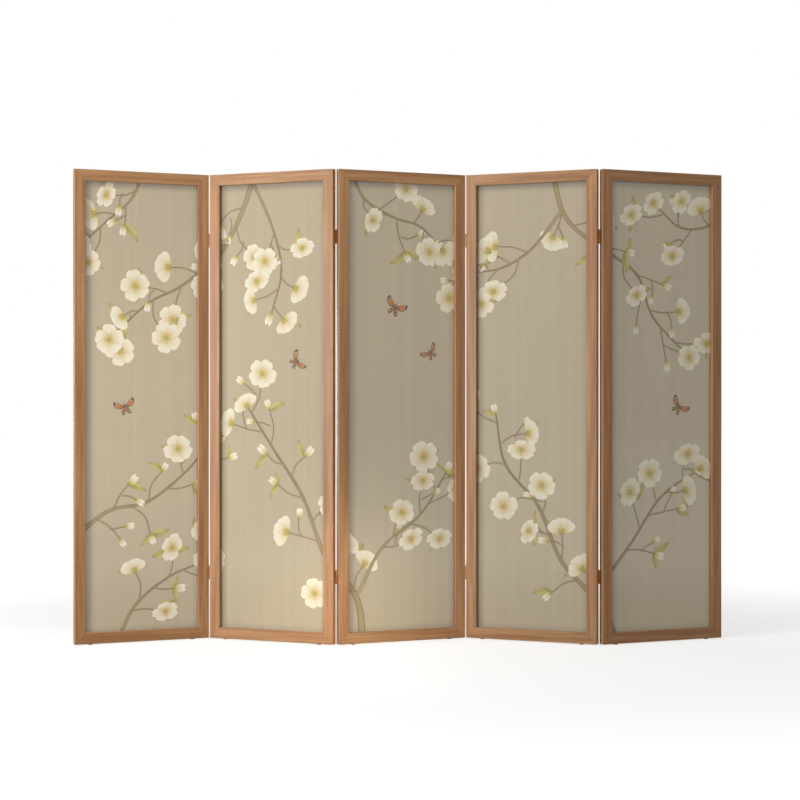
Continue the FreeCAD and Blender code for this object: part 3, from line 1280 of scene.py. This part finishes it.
@dataclass
class Design:
    """The print that runs on from cloth to cloth: flowering boughs and a few butterflies."""

    width: float
    height: float
    patches: list[Patch] = field(default_factory=list)
    twig_length: float = 105 * MM
    blossom_radius: float = 56 * MM
    bud_length: float = 42 * MM
    leaf_length: float = 74 * MM
    taper_power: float = 0.7
    leaf_chance: float = 0.62
    open_chance: float = 0.26
    tilted_chance: float = 0.24
    cupped_chance: float = 0.26
    small_twig_chance: float = 0.45
    twig_lean: Range = (35, 68)
    twig_bend: Range = (-34, 34)
    small_twig_lean: float = 55.0
    leaf_lean: Range = (38, 80)
    leaf_curl: Range = (-35, 35)
    twig_length_shares: Range = (0.55, 1.25)
    small_twig_share: float = 0.5
    leaf_length_shares: Range = (0.65, 1.1)
    blossom_radius_shares: Range = (0.85, 1.12)
    cupped_radius_shares: Range = (0.95, 1.2)
    bud_length_shares: Range = (0.85, 1.2)
    small_bud_length_shares: Range = (0.8, 1.0)
    wood_width_shares: Range = (0.9, 1.1)
    boughs: tuple[Bough, ...] = (
        Bough(((0.275, 1.03), (0.25, 0.93), (0.215, 0.84), (0.16, 0.77), (0.11, 0.73), (0.06, 0.66)),
              20 * MM, 10, 11),
        Bough(((0.262, 1.02), (0.3, 0.9), (0.315, 0.8), (0.3, 0.71)), 13 * MM, 6, 23, 0.3),
        Bough(((0.105, 1.03), (0.085, 0.96), (0.05, 0.91), (0.015, 0.86)), 12 * MM, 5, 131, 0.15),
        Bough(((-0.01, 0.2), (0.05, 0.27), (0.11, 0.29), (0.17, 0.36), (0.2, 0.42)), 17 * MM, 8, 37),
        Bough(((0.06, -0.03), (0.09, 0.06), (0.14, 0.12), (0.19, 0.15)), 15 * MM, 6, 149, 0.2),
        Bough(((0.44, -0.03), (0.43, 0.08), (0.385, 0.17), (0.35, 0.3), (0.305, 0.4), (0.26, 0.5)),
              26 * MM, 11, 41, 0.2, 5 * MM),
        Bough(((0.432, 0.09), (0.47, 0.19), (0.53, 0.26), (0.57, 0.35)), 13 * MM, 7, 53, 0.3),
        Bough(((0.42, 1.03), (0.44, 0.96), (0.485, 0.92), (0.53, 0.9), (0.565, 0.85)), 13 * MM, 6, 163, 0.2),
        Bough(((0.83, -0.03), (0.8, 0.07), (0.745, 0.16), (0.71, 0.28), (0.66, 0.37), (0.645, 0.48)),
              24 * MM, 10, 67, 0.2, 5 * MM),
        Bough(((0.79, 0.09), (0.85, 0.2), (0.9, 0.3), (0.965, 0.36)), 14 * MM, 7, 71, 0.25),
        Bough(((1.01, 0.93), (0.97, 0.9), (0.93, 0.9), (0.895, 0.94)), 11 * MM, 4, 179, 0.15),
        Bough(((0.73, 1.03), (0.75, 0.92), (0.8, 0.85), (0.86, 0.79), (0.885, 0.7), (0.94, 0.62)),
              20 * MM, 10, 83),
        Bough(((0.745, 0.93), (0.7, 0.85), (0.655, 0.81), (0.61, 0.8)), 12 * MM, 6, 97, 0.3),
    )
    butterfly_shares: tuple[tuple[float, float, float, float], ...] = (
        (0.49, 0.72, 62.0, 0.086), (0.545, 0.62, 128.0, 0.07), (0.34, 0.6, 30.0, 0.075),
        (0.075, 0.5, 105.0, 0.078), (0.93, 0.5, 50.0, 0.08),
    )

    def spot(self, shares: tuple[float, float]) -> Vector:
        """A point of the design from its shares of the width and the height."""
        return Vector((shares[0] * self.width, shares[1] * self.height))

    def stroke(self, line: list[Vector], root: float, tip: float, chance: random.Random) -> None:
        """Paints a bough's or a twig's wood, with its darker outline.

        Args:
            line: The points of its middle.
            root: Its width where it starts.
            tip: Its width where it ends.
            chance: The source of small differences.
        """
        last = len(line) - 1
        widths = [(root + (tip - root) * (n / last) ** self.taper_power)
                  * chance.uniform(*self.wood_width_shares) for n in range(last + 1)]
        rims = [max(PEN.least_bark, w * PEN.bark_share) for w in widths]
        bark = ribbon(line, [w + e for w, e in zip(widths, rims)])
        wood = ribbon(line, [max(PEN.least_wood, w - e) for w, e in zip(widths, rims)])
        stops = ((0.0, INK.bark_light), (0.5, INK.bark), (1.0, between(INK.bark, INK.bark_line, 0.4)))
        self.patches.append(Patch(bark, plain(INK.bark_line, 0.85)))
        self.patches.append(Patch(wood, Tint(line[0], line[-1], stops)))
        for n in range(2, last - 1, 3):
            if widths[n] > PEN.least_marked_wood:
                along = (line[n + 1] - line[n]).normalized()
                side = left_of(along) * widths[n] * chance.uniform(-0.25, 0.25)
                mark = [line[n] + side, line[n] + side + along * widths[n] * chance.uniform(0.5, 1.2)]
                self.patches.append(Patch(ribbon(mark, PEN.bark_mark), plain(INK.bark_line, 0.6)))

    def twig(self, start: Vector, degrees: float, length: float,
             chance: random.Random) -> tuple[Vector, float]:
        """Paints a twig.

        Args:
            start: Where it leaves its bough.
            degrees: Its heading there.
            length: Its length.
            chance: The source of small differences.

        Returns:
            Its end, and its heading there.
        """
        bend = chance.uniform(*self.twig_bend)
        middle = start + heading(degrees) * length * 0.5
        end = middle + heading(degrees + bend) * length * 0.5
        self.stroke(smooth_line([start, middle, end], 5), *PEN.twig, chance)
        return end, degrees + bend

    def flower(self, end: Vector, degrees: float, chance: random.Random) -> None:
        """Paints what a twig bears at its end.

        Args:
            end: The twig's end.
            degrees: Its heading there.
            chance: The source of small differences.
        """
        kind = chance.random()
        for side in (-1, 1):
            if chance.random() < self.leaf_chance:
                lean = degrees + side * chance.uniform(*self.leaf_lean)
                length = self.leaf_length * chance.uniform(*self.leaf_length_shares)
                leaf = Foliage(end, lean, length, chance.uniform(*self.leaf_curl))
                self.patches += leaf.patches(chance)
        if kind < self.open_chance + self.tilted_chance:
            radius = self.blossom_radius * chance.uniform(*self.blossom_radius_shares)
            facing = Facing.OPEN if kind < self.open_chance else Facing.TILTED
            centre = end + heading(degrees) * radius * 0.5
            self.patches += Blossom(centre, radius, chance.uniform(0, 72), facing).patches(chance)
        elif kind < self.open_chance + self.tilted_chance + self.cupped_chance:
            radius = self.blossom_radius * chance.uniform(*self.cupped_radius_shares)
            self.patches += Blossom(end, radius, degrees - 90, Facing.CUPPED).patches(chance)
        else:
            length = self.bud_length * chance.uniform(*self.bud_length_shares)
            self.patches += Bud(end, degrees, length).patches(chance)

    def grow(self, bough: Bough) -> None:
        """Paints a bough with its twigs, leaves, buds and blossoms.

        Args:
            bough: The bough's plan.
        """
        chance = random.Random(bough.seed)
        line = smooth_line([self.spot(shares) for shares in bough.line_shares], 7)
        last = len(line) - 1
        self.stroke(line, bough.root_width, bough.tip_width, chance)
        ends = []
        for n in range(bough.twigs):
            share = bough.first_twig_share + (1 - bough.first_twig_share) * (n + 0.5) / bough.twigs
            place = min(last - 1, round(share * last))
            along = line[place + 1] - line[place]
            level = math.degrees(math.atan2(along.y, along.x))
            side = 1 if n % 2 else -1
            length = self.twig_length * chance.uniform(*self.twig_length_shares)
            level += side * chance.uniform(*self.twig_lean)
            end, degrees = self.twig(line[place], level, length, chance)
            ends.append((end, degrees))
            if chance.random() < self.small_twig_chance:
                fork = end.lerp(line[place], 0.45)
                turned = degrees - side * self.small_twig_lean
                tip, turned = self.twig(fork, turned, length * self.small_twig_share, chance)
                bud_length = self.bud_length * chance.uniform(*self.small_bud_length_shares)
                self.patches += Bud(tip, turned, bud_length).patches(chance)
        along = line[-1] - line[-2]
        ends.append((line[-1], math.degrees(math.atan2(along.y, along.x))))
        for end, degrees in ends:
            self.flower(end, degrees, chance)

    def paint(self) -> None:
        """Paints the whole design."""
        for bough in self.boughs:
            self.grow(bough)
        for across, up, degrees, span in self.butterfly_shares:
            self.patches += Butterfly(self.spot((across, up)), degrees, span).patches()
        log.info("design: %d printed patches", len(self.patches))


@dataclass
class PrintedCloth:
    """The sheer cloth of one leaf, stretched in its rebate, with its window of the design."""

    leaf: Leaf
    design: Design
    finish: SheerFinish
    grid_across: float = 9 * MM
    grid_up: float = 38 * MM
    wave_depth: float = 0.45 * MM
    wave_length: float = 74 * MM
    held_width: float = 9 * MM
    fade_width: float = 45 * MM
    leaf_phase: float = 1.9
    bend_reach: float = 0.9
    bend_rate: float = 2.1
    swell_share: float = 0.4
    swell_rates: tuple[float, float] = (3.3, 1.7)

    def waves(self, places: np.ndarray) -> np.ndarray:
        """How far the cloth stands off its flat: shallow upright waves that die out at the edges.

        Args:
            places: Points of the cloth, as rows of x and z in the leaf's own frame.

        Returns:
            The distance towards the back at each point.
        """
        low, high = self.leaf.cloth_low, self.leaf.cloth_high
        x, z = places.T
        edge = np.minimum(np.minimum(x - low.x, high.x - x), np.minimum(z - low.z, high.z - z))
        fade = np.clip((edge - self.held_width) / self.fade_width, 0, 1) ** 2
        phase = self.leaf.number * self.leaf_phase
        bend = self.bend_reach * np.sin(self.bend_rate * z + phase)
        swing = np.sin(2 * math.pi * x / self.wave_length + phase + bend)
        swell = np.sin(self.swell_rates[0] * x + self.swell_rates[1] * z + 2 * phase)
        return self.wave_depth * fade * swing * (1 - self.swell_share + self.swell_share * swell)

    def grid(self) -> list[Vector]:
        """Evenly spread points inside the cloth, so that the sheet bends smoothly.

        Returns:
            The points, as x and z in the leaf's own frame.
        """
        low, high = self.leaf.cloth_low, self.leaf.cloth_high
        columns = round((high.x - low.x) / self.grid_across)
        rows = round((high.z - low.z) / self.grid_up)
        points = []
        for i in range(1, columns):
            for j in range(1, rows):
                up = min(j + 0.5 * (i % 2), rows - 0.5) / rows
                points.append(Vector((low.x + (high.x - low.x) * i / columns, low.z + (high.z - low.z) * up)))
        return points

    def owners(self, middles: np.ndarray, outlines: list[tuple[Vector, ...]]) -> np.ndarray:
        """The last outline that lies round each triangle.

        Args:
            middles: The triangles' middles, in rows sorted by x.
            outlines: The outlines, the first one round the whole cloth.

        Returns:
            The number of the outline for each triangle.
        """
        found = np.zeros(len(middles), int)
        for n, rim in enumerate(outlines[1:], 1):
            corners = np.array(rim)
            (left, low), (right, high) = corners.min(0), corners.max(0)
            near = np.arange(*np.searchsorted(middles[:, 0], (left, right)))
            near = near[(middles[near, 1] > low) & (middles[near, 1] < high)]
            found[near[turns_round(corners, middles[near]) != 0]] = n
        return found

    def colours(self, places: np.ndarray, tints: list[Tint | None], owners: np.ndarray) -> np.ndarray:
        """The ink at the corners of the triangles.

        Args:
            places: The corners' places in the design, three rows to a triangle.
            tints: The tints of the patches, the first one None for bare cloth.
            owners: The number of the patch on each triangle.

        Returns:
            Red, green, blue and density, in a row for each corner.
        """
        found = np.empty((len(places), 4))
        found[:] = (*self.finish.thread, 0.0)
        order = np.argsort(owners, kind="stable")
        starts = np.searchsorted(owners[order], np.arange(len(tints) + 1))
        for n in range(1, len(tints)):
            mine = order[starts[n]:starts[n + 1]]
            if len(mine):
                rows = (mine[:, None] * 3 + np.arange(3)).ravel()
                found[rows] = tints[n].at(places[rows])
        return found

    def window(self, shift: Vector) -> tuple[list[tuple[Vector, ...]], list[Tint | None]]:
        """What of the design lies on this cloth.

        Args:
            shift: How far the design lies from the leaf's own frame.

        Returns:
            The outlines, the cloth's own first, and their tints, None for bare cloth.
        """
        low, high = self.leaf.cloth_low, self.leaf.cloth_high
        corners = ((low.x, low.z), (high.x, low.z), (high.x, high.z), (low.x, high.z))
        outlines = [tuple(Vector(corner) for corner in corners)]
        tints: list[Tint | None] = [None]
        for patch in self.design.patches:
            rim = tuple(p + shift for p in patch.outline)
            beside = max(p.x for p in rim) < low.x or min(p.x for p in rim) > high.x
            if not beside and max(p.y for p in rim) > low.z and min(p.y for p in rim) < high.z:
                outlines.append(rim)
                tints.append(patch.tint)
        return outlines, tints

    def build(self) -> None:
        leaf = self.leaf
        low, high = leaf.cloth_low, leaf.cloth_high
        shift = Vector((-(leaf.number - 0.5) * self.design.width / LEAF_COUNT, low.z))
        outlines, tints = self.window(shift)
        points, triangles = triangulated(outlines, self.grid())
        triangles = triangles[np.argsort(points[triangles].mean(1)[:, 0])]
        inside = turns_round(np.array(outlines[0]), points[triangles].mean(1)) != 0
        triangles = triangles[inside]
        owners = self.owners(points[triangles].mean(1), outlines)

        used, numbers = np.unique(triangles, return_inverse=True)
        flat = points[used]
        depth = (low.y + high.y) / 2 + self.waves(flat)
        corners = np.stack([flat[:, 0], depth, flat[:, 1]], 1)
        mesh = bpy.data.meshes.new(leaf.node("cloth"))
        mesh.from_pydata(corners.tolist(), [], numbers.reshape(-1, 3).tolist())
        painted = mesh.color_attributes.new(name=self.finish.print_name, type="FLOAT_COLOR", domain="CORNER")
        places = points[triangles].reshape(-1, 2) - np.array(shift)
        painted.data.foreach_set("color", self.colours(places, tints, owners).ravel())
        mesh.polygons.foreach_set("use_smooth", [True] * len(mesh.polygons))
        piece = leaf.add_piece("cloth", mesh, self.finish.material(leaf), "sheer_cloth")
        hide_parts(leaf.node("sheer"))
        rests = ["beads", "left_stile", "right_stile", "top_rail", "bottom_rail"]
        [leaf.node(name) for name in rests]


def joined_rings(mesh: bmesh.types.BMesh, first: list[bmesh.types.BMVert],
                 second: list[bmesh.types.BMVert]) -> None:
    """Joins two rings of corners with a band of faces.

    Args:
        mesh: The mesh that the corners are in.
        first: The corners of one ring.
        second: The corners of the other, as many.
    """
    for n in range(len(first)):
        after = (n + 1) % len(first)
        mesh.faces.new([first[n], first[after], second[after], second[n]])


@dataclass
class CrossScrew:
    """A small countersunk screw's head with a cross recess, made about the x axis, its seat at x = 0."""

    radius: float = 2.6 * MM
    rise: float = 0.08 * MM
    rim_height: float = 0.03 * MM
    flat_share: float = 0.8
    recess: float = 0.45 * MM
    arm: float = 1.5 * MM
    arm_half_width: float = 0.35 * MM
    arm_end_share: float = 0.7
    floor_share: float = 0.75
    floor_margin_share: float = 1.01
    sides: int = 28

    def cross(self) -> tuple[Vector, ...]:
        """The outline of the recess.

        Returns:
            The points, in order.
        """
        root, end = self.arm_half_width, self.arm_half_width * self.arm_end_share
        corners = []
        for quarter in range(4):
            turn = Matrix.Rotation(quarter * math.pi / 2, 2)
            corners += [turn @ Vector(p) for p in ((root, -root), (self.arm, -end), (self.arm, end))]
        return tuple(corners)

    def height(self, distance: float) -> float:
        """The head's height at a distance from its middle."""
        share = min(1.0, distance / self.radius)
        return self.rim_height + (self.rise - self.rim_height) * (1 - share ** 2)

    def add_to(self, mesh: bmesh.types.BMesh, place: Matrix) -> None:
        """Adds one screw to a mesh.

        Args:
            mesh: The mesh.
            place: Where the screw's seat goes, its x pointing out.
        """
        rims = [tuple(heading(360 * n / self.sides) * (self.radius * share) for n in range(self.sides))
                for share in (1.0, self.flat_share)]
        cross = self.cross()
        floor = tuple(p * self.floor_share for p in cross)
        points, triangles = triangulated([*rims, cross, floor], [])
        sunk = turns_round(np.array(floor) * self.floor_margin_share, points) != 0
        top = []
        for (across, up), low in zip(points, sunk):
            height = self.height(math.hypot(across, up)) - (self.recess if low else 0)
            top.append(mesh.verts.new(place @ Vector((height, across, up))))
        for triangle in triangles:
            mesh.faces.new([top[n] for n in triangle])
        seat = [mesh.verts.new(place @ Vector((0, p.x, p.y))) for p in rims[0]]
        joined_rings(mesh, top[:self.sides], seat)
        mesh.faces.new(list(reversed(seat)))


@dataclass
class HingeScrews:
    """The screws that hold a joint's hinge plates on the side of one leaf, 1 its right and -1 its left."""

    leaf: Leaf
    hinge: str
    side: int
    metal: bpy.types.Material
    screw: CrossScrew
    plate_thickness: float = 0.8 * MM
    hinge_length: float = 50 * MM
    screw_shares: Shares = ((-0.36, 0.62), (0.0, 0.78), (0.36, 0.62))
    spin_rate: float = 37.0

    def build(self) -> None:
        """Builds the screws of both hinges of the joint, each with its cross turned its own way."""
        plates, edge = ("left_leaves", "right") if self.side > 0 else ("right_leaves", "left")
        low, high = self.leaf.local_box(f"{self.hinge}_{plates}")
        face = self.side * (self.leaf.half_width + self.plate_thickness)
        at_back = high.y > self.leaf.half_thickness
        pin_edge, free_edge = (high.y, low.y) if at_back else (low.y, high.y)
        turn = Matrix.Rotation(0 if self.side > 0 else math.pi, 4, "Z")
        mesh = bmesh.new()
        for middle in (low.z + self.hinge_length / 2, high.z - self.hinge_length / 2):
            for up_share, out_share in self.screw_shares:
                depth = pin_edge + (free_edge - pin_edge) * out_share
                place = Vector((face, depth, middle + up_share * self.hinge_length))
                spin = Matrix.Rotation(place.z * self.spin_rate, 4, "X")
                self.screw.add_to(mesh, Matrix.Translation(place) @ turn @ spin)
        self.leaf.add_fasteners(f"{edge}_{self.hinge}_screws", mesh, self.metal)


@dataclass
class Brads:
    """The small nails that hold a leaf's beads from behind.

    The profile shares are the head's rings from the wood up: each one's share of the head's radius and
    of its rise. The lowest ring is sunk in the wood.
    """

    leaf: Leaf
    metal: bpy.types.Material
    head_radius: float = 1.0 * MM
    head_rise: float = 0.16 * MM
    sink: float = 0.1 * MM
    profile_shares: Shares = ((1.0, 0.35), (0.72, 1.0), (0.3, 1.0), (0.18, 0.5))
    spacing: float = 155 * MM
    inset: float = 3.6 * MM
    sides: int = 14

    def add_head(self, mesh: bmesh.types.BMesh, x: float, y: float, z: float) -> None:
        """Adds one brad's shallow domed head, with a small dimple.

        Args:
            mesh: The mesh.
            x: Its place along the leaf.
            y: The bead's back face.
            z: Its height.
        """
        levels = [(1.0, -self.sink)] + [(share, rise * self.head_rise) for share, rise in self.profile_shares]
        rings = []
        for share, rise in levels:
            steps = [heading(360 * n / self.sides) * (self.head_radius * share) for n in range(self.sides)]
            rings.append([mesh.verts.new((x + s.x, y + rise, z + s.y)) for s in steps])
        for below, above in zip(rings, rings[1:]):
            joined_rings(mesh, below, above)
        mesh.faces.new(rings[-1])
        mesh.faces.new(list(reversed(rings[0])))

    def build(self) -> None:
        """Builds all the brads of the leaf."""
        low, high = self.leaf.local_box(self.leaf.node("beads"))
        mesh = bmesh.new()
        across, up = high.x - low.x, high.z - low.z
        for x in (low.x + self.inset, high.x - self.inset):
            count = round(up / self.spacing)
            for n in range(count):
                self.add_head(mesh, x, high.y, low.z + up * (n + 0.5) / count)
        for z in (low.z + self.inset, high.z - self.inset):
            count = round(across / self.spacing)
            for n in range(count):
                self.add_head(mesh, low.x + across * (n + 0.5) / count, high.y, z)
        self.leaf.add_fasteners("brads", mesh, self.metal)


@dataclass
class LeafDressing:
    """Everything on one leaf: its wood, cloth, brads and glides."""

    leaf: Leaf
    wood: WoodFinish
    design: Design
    sheer: SheerFinish
    brad_metal: bpy.types.Material
    plastic: bpy.types.Material
    members: tuple[tuple[str, Grain], ...] = (
        ("left_stile", Grain.UPRIGHT), ("right_stile", Grain.UPRIGHT), ("top_rail", Grain.LEVEL),
        ("bottom_rail", Grain.LEVEL), ("beads", Grain.MITRED), ("corner_tenons", Grain.LEVEL),
    )

    def build(self) -> None:
        """Dresses the leaf's CAD nodes and adds its cloth and brads."""
        for n, (piece, grain) in enumerate(self.members):
            dress(self.leaf.node(piece), self.wood.material(self.leaf, grain, self.leaf.number * 10 + n))
        dress(self.leaf.node("glides"), self.plastic)
        PrintedCloth(self.leaf, self.design, self.sheer).build()
        Brads(self.leaf, self.brad_metal).build()
        log.info("leaf %d: dressed", self.leaf.number)


@dataclass
class JointDressing:
    """The hinges of one joint, with their screws."""

    left: Leaf
    right: Leaf
    plate_metal: bpy.types.Material
    pin_metal: bpy.types.Material
    screw: CrossScrew

    def build(self) -> None:
        """Dresses the joint's CAD nodes and adds its screws."""
        name = f"hinge_{self.left.number}{self.right.number}"
        dress(name + "_left_leaves", self.plate_metal)
        dress(name + "_right_leaves", self.plate_metal)
        dress(name + "_pins", self.pin_metal)
        HingeScrews(self.left, name, 1, self.pin_metal, self.screw).build()
        HingeScrews(self.right, name, -1, self.pin_metal, self.screw).build()
        log.info("%s: dressed", name)


@dataclass(frozen=True)
class Lamp:
    """A soft square lamp: its size is its side, its share what it gives of the plain level at its aim."""

    name: str
    place: Place
    aim: Place
    size: float
    share: float
    colour: Colour = (1.0, 1.0, 1.0)
    beam: float = 180.0

    def build(self, level: float) -> None:
        """Hangs the lamp.

        Args:
            level: The power that gives the plain level at a distance of 1 m.
        """
        data = bpy.data.lights.new(self.name, "AREA")
        data.shape, data.size = "SQUARE", self.size
        data.spread = math.radians(self.beam)
        half = math.radians(self.beam) / 2
        gathered = 1.0 if self.beam >= 180 else math.tan(half) / (math.tan(half) - half)
        way = Vector(self.aim) - Vector(self.place)
        data.energy = level * self.share * way.length_squared / gathered
        data.color = self.colour
        lamp = placed(self.name, data)
        lamp.location = self.place
        lamp.rotation_euler = way.to_track_quat("-Z", "Y").to_euler()


@dataclass
class Studio:
    """A pale floor, a white surround, soft lamps and the camera."""

    level: float = math.pi ** 2
    world_level: float = 0.2
    lamps: tuple[Lamp, ...] = (
        Lamp("key", (-2.8, -2.2, 1.3), (0.0, 0.0, 0.9), 1.0, 0.4),
        Lamp("overhead", (-0.3, -1.3, 3.6), (-0.1, -0.1, 0.8), 1.0, 0.23),
        Lamp("sheen", (-3.5, -2.6, 1.0), (0.0, 0.0, 0.9), 1.1, 0.14),
        Lamp("fill", (2.7, -3.0, 1.1), (0.0, 0.0, 0.9), 1.1, 0.03, (1.0, 0.88, 0.74)),
        Lamp("back", (-0.5, 3.4, 2.8), (0.0, 0.0, 0.9), 2.4, 0.12, (1.0, 0.99, 0.97)),
        Lamp("window", (-1.75, 1.8, 0.95), (-1.0, 0.0, 0.85), 0.7, 1.15, (1.0, 0.98, 0.94), 62.0),
        Lamp("low_patch", (0.2, -2.7, 0.6), (-0.2, 0.0, 0.1), 0.3, 0.75, (1.0, 0.97, 0.91), 21.0),
    )
    floor_half: float = 30.0
    floor_colours: tuple[Colour, Colour] = ((0.52, 0.517, 0.51), (0.55, 0.547, 0.54))
    floor_glow_range: Range = (1.2, 4.0, 0.66, 1.0)
    lens: float = 84.41
    sensor_width: float = 36.0
    camera_reach: float = 200.0
    camera_place: Place = (-0.0278, -6.7936, 0.8935)
    camera_pitch: float = -0.152
    camera_yaw: float = -0.181

    def floor(self) -> None:
        """The floor: pale, whitening with distance, and it keeps shadows."""
        half = self.floor_half
        corners = [(-half, -half, 0), (half, -half, 0), (half, half, 0), (-half, half, 0)]
        mesh = bpy.data.meshes.new("floor")
        mesh.from_pydata(corners, [], [(0, 1, 2, 3)])
        graph = Graph("pale_floor")
        place = graph.add("TexCoord").outputs["Object"]
        pale = graph.mixed(graph.noise(place, 3, 4), *self.floor_colours)
        cover = graph.add("BsdfDiffuse", {"Color": pale})
        distance = graph.add("VectorMath", {0: place}, operation="LENGTH").outputs["Value"]
        strength = graph.times(graph.ranged(distance, *self.floor_glow_range), graph.seen())
        glow = graph.add("Emission", {"Strength": strength})
        both = graph.add("AddShader", {0: cover.outputs[0], 1: glow.outputs[0]})
        mesh.materials.append(graph.finished(both.outputs[0]))
        floor = placed("floor", mesh)

    def surround(self) -> None:
        """A white world, dim as a light and full white to the eye."""
        graph = Graph("surround", world=True)
        strength = graph.ranged(graph.seen(), 0, 1, self.world_level, 1)
        light = graph.add("Background", {"Color": (1.0, 1.0, 1.0), "Strength": strength})
        bpy.context.scene.world = graph.finished(light.outputs[0])

    def camera(self) -> None:
        """The camera, where the photograph was taken from."""
        data = bpy.data.cameras.new("camera")
        data.lens, data.sensor_width, data.clip_end = self.lens, self.sensor_width, self.camera_reach
        camera = placed("camera", data)
        camera.location = self.camera_place
        camera.rotation_euler = (math.radians(90 + self.camera_pitch), 0.0, math.radians(self.camera_yaw))
        bpy.context.scene.camera = camera

    def build(self) -> None:
        """Builds the floor, the surround, the lamps and the camera."""
        bpy.context.scene.view_settings.view_transform = "Standard"
        self.floor()
        self.surround()
        for lamp in self.lamps:
            lamp.build(self.level)
        self.camera()
        log.info("studio: ready")


def main() -> None:
    """Builds the studio, then each leaf and each joint, and reports them."""
    logging.basicConfig(level=logging.INFO, format="%(message)s")
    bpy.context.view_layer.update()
    Studio().build()

    leaves = [Leaf(number) for number in range(1, LEAF_COUNT + 1)]
    first = leaves[0]
    design = Design((2 * first.half_width + JOINT_GAP) * LEAF_COUNT, first.cloth_high.z - first.cloth_low.z)
    design.paint()

    plate_metal, pin_metal, brad_metal = (finish.material() for finish in (
        MetalFinish("bronze_plate", shade(196, 152, 106), shade(148, 108, 70), shade(222, 186, 140), 0.42),
        MetalFinish("bronze_pin", shade(184, 140, 96), shade(136, 98, 64), shade(212, 174, 128), 0.36),
        MetalFinish("brad_steel", shade(150, 142, 130), shade(108, 98, 86), shade(186, 180, 170), 0.4),
    ))
    plastic = MouldedFinish().material()
    for leaf in leaves:
        LeafDressing(leaf, WoodFinish(), design, SheerFinish(), brad_metal, plastic).build()
    for left, right in zip(leaves, leaves[1:]):
        JointDressing(left, right, plate_metal, pin_metal, CrossScrew()).build()


if __name__ == "__main__":
    main()
